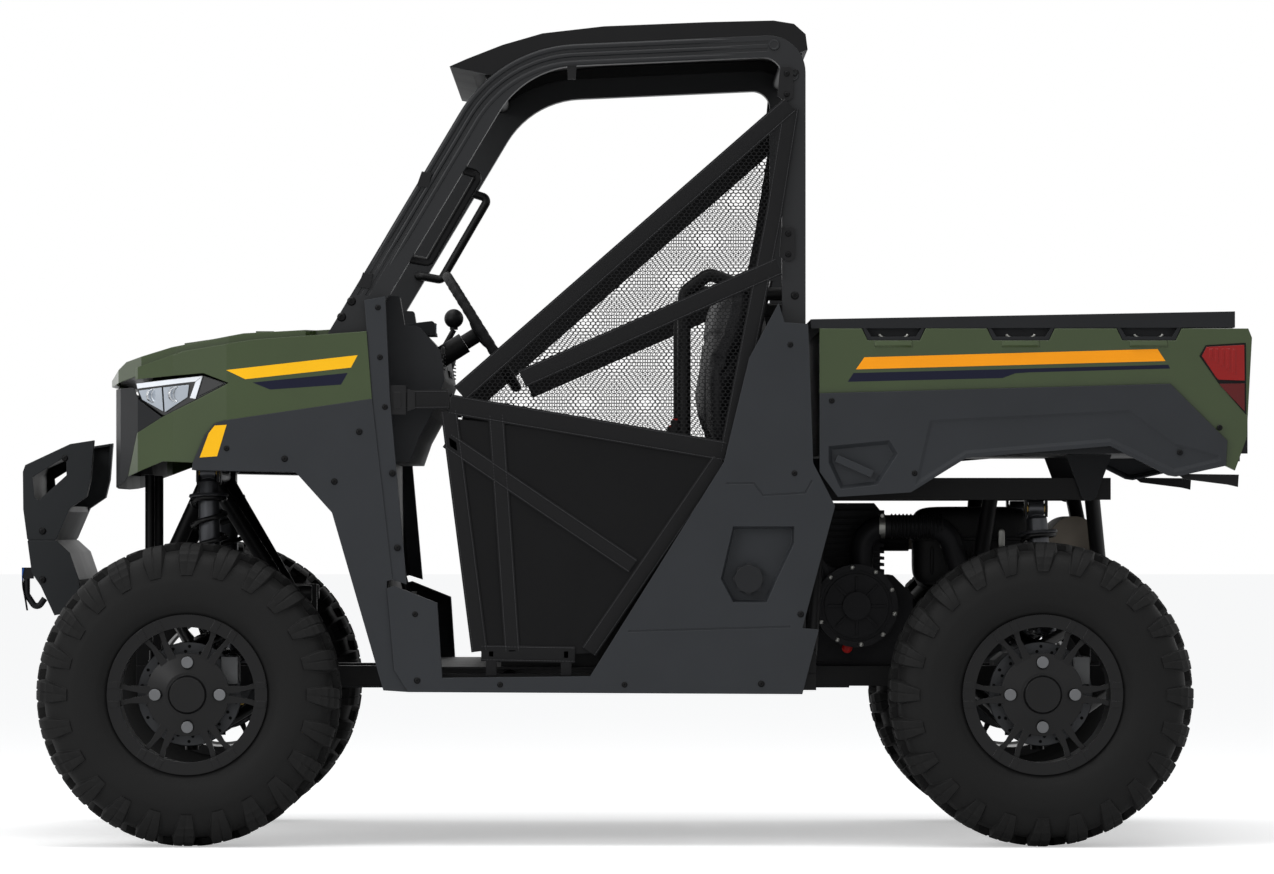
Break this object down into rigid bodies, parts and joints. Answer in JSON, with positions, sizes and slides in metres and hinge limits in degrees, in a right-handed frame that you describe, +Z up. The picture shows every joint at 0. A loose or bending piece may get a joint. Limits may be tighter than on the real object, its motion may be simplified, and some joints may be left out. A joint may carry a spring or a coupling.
{
  "type": "side by side utility vehicle",
  "caption": "Open-cab utility vehicle with a tube cage, bench seats, side nets, a tipping load bed and lugged tyres.",
  "frame": {"origin": "ground level under the centre of the overall box", "axes": "+X forward, +Y towards the driver's side, +Z up"},
  "size_m": [3.03, 1.65, 1.995],
  "materials": {
    "green_plastic": "satin olive green moulded plastic",
    "grey_plastic": "textured dark grey plastic",
    "black_plastic": "textured black plastic",
    "frame_steel": "black powder coat",
    "bumper_steel": "textured black powder coat",
    "rim_black": "satin black",
    "tyre": "black rubber with moulded lugs",
    "bare_steel": "machined and dull",
    "damper": "black spring and body",
    "cast_alloy": "as cast",
    "seat_leather": "black and grey seat cover",
    "net_fabric": "black webbing and mesh",
    "grip_rubber": "soft grip",
    "lamp_clear": "clear lamp lens",
    "lamp_red": "red lamp lens"
  },
  "bodies": {
    "chassis": {"arms_front": "frame_steel", "arms_rear": "frame_steel", "bumper": "bumper_steel", "cage_cross": "frame_steel", "cage_sides": "frame_steel", "clutch_cover": "black_plastic", "controls": "frame_steel", "dashboard": "black_plastic", "drive_shafts": "bare_steel", "engine": "cast_alloy", "exhaust": "cast_alloy", "fascia": "green_plastic", "fenders": "grey_plastic", "floor": "black_plastic", "frame_lower": "frame_steel", "frame_rear": "frame_steel", "front_tub": "black_plastic", "fuel_cap": "black_plastic", "gearcases": "cast_alloy", "grab_handles": "grip_rubber", "headlights": "lamp_clear", "hip_bars": "frame_steel", "hitch": "frame_steel", "knuckles_rear": "bare_steel", "nose_panels": "green_plastic", "radiator": "cast_alloy", "roof": "black_plastic", "seat_backs": "seat_leather", "seat_base_driver": "seat_leather", "seat_frame": "frame_steel", "shocks": "damper", "side_nets": "net_fabric", "side_panels": "grey_plastic", "skid_plate": "black_plastic", "winch": "bumper_steel"},
    "hood": {"hood": "green_plastic"},
    "passenger_seat": {"seat_base_passenger": "seat_leather"},
    "steering_wheel": {"steering_wheel": "grip_rubber"},
    "tie_rods": {"tie_rods": "bare_steel"},
    "knuckle_left": {"knuckle_front_left": "bare_steel"},
    "knuckle_right": {"knuckle_front_right": "bare_steel"},
    "bed": {"bed_box": "black_plastic", "bed_sides": "green_plastic", "bed_skirts": "grey_plastic", "tail_lamps": "lamp_red"},
    "tailgate": {"tailgate": "black_plastic"},
    "wheel_front_left": {"tyre_front_left": "tyre", "rim_front_left": "rim_black", "hub_front_left": "bare_steel"},
    "wheel_front_right": {"tyre_front_right": "tyre", "rim_front_right": "rim_black", "hub_front_right": "bare_steel"},
    "wheel_rear_left": {"tyre_rear_left": "tyre", "rim_rear_left": "rim_black", "hub_rear_left": "bare_steel"},
    "wheel_rear_right": {"tyre_rear_right": "tyre", "rim_rear_right": "rim_black", "hub_rear_right": "bare_steel"}
  },
  "joints": [
    {"name": "steer_left", "type": "hinge", "parent": "chassis", "child": "knuckle_left", "pos_m": [1.0515, 0.6, 0.366], "axis": [0, 0, 1], "range_deg": [-32, 32]},
    {"name": "steer_right", "type": "hinge", "parent": "chassis", "child": "knuckle_right", "pos_m": [1.0515, -0.6, 0.366], "axis": [0, 0, 1], "range_deg": [-32, 32]},
    {"name": "steering_wheel_turn", "type": "hinge", "parent": "chassis", "child": "steering_wheel", "pos_m": [0.351, 0.37, 1.251], "axis": [-0.848, 0, 0.5299], "range_deg": [-270, 270]},
    {"name": "tie_rod_slide", "type": "slide", "parent": "chassis", "child": "tie_rods", "axis": [0, 1, 0], "range_m": [-0.05, 0.05]},
    {"name": "wheel_front_left_spin", "type": "hinge", "parent": "knuckle_left", "child": "wheel_front_left", "pos_m": [1.0515, 0.7, 0.367], "axis": [0, 1, 0], "continuous": true},
    {"name": "wheel_front_right_spin", "type": "hinge", "parent": "knuckle_right", "child": "wheel_front_right", "pos_m": [1.0515, -0.7, 0.367], "axis": [0, 1, 0], "continuous": true},
    {"name": "wheel_rear_left_spin", "type": "hinge", "parent": "chassis", "child": "wheel_rear_left", "pos_m": [-1.0055, 0.7, 0.367], "axis": [0, 1, 0], "continuous": true},
    {"name": "wheel_rear_right_spin", "type": "hinge", "parent": "chassis", "child": "wheel_rear_right", "pos_m": [-1.0055, -0.7, 0.367], "axis": [0, 1, 0], "continuous": true},
    {"name": "bed_tilt", "type": "hinge", "parent": "chassis", "child": "bed", "pos_m": [-1.14, 0, 0.856], "axis": [0, -1, 0], "range_deg": [0, 45]},
    {"name": "tailgate_drop", "type": "hinge", "parent": "bed", "child": "tailgate", "pos_m": [-1.5, 0, 0.94], "axis": [0, -1, 0], "range_deg": [0, 90]},
    {"name": "passenger_seat_flip", "type": "hinge", "parent": "chassis", "child": "passenger_seat", "pos_m": [-0.15, 0, 0.85], "axis": [0, -1, 0], "range_deg": [0, 70]},
    {"name": "hood_lift", "type": "hinge", "parent": "chassis", "child": "hood", "pos_m": [1.256, 0, 1.1125], "axis": [0, 1, 0], "range_deg": [0, 55]}
  ],
  "couplings": [
    {"joint": "steer_right", "follows": "steer_left", "ratio": 1},
    {"joint": "steering_wheel_turn", "follows": "steer_left", "ratio": 8.4},
    {"joint": "tie_rod_slide", "follows": "steer_left", "m_per_rad": 0.0854}
  ]
}
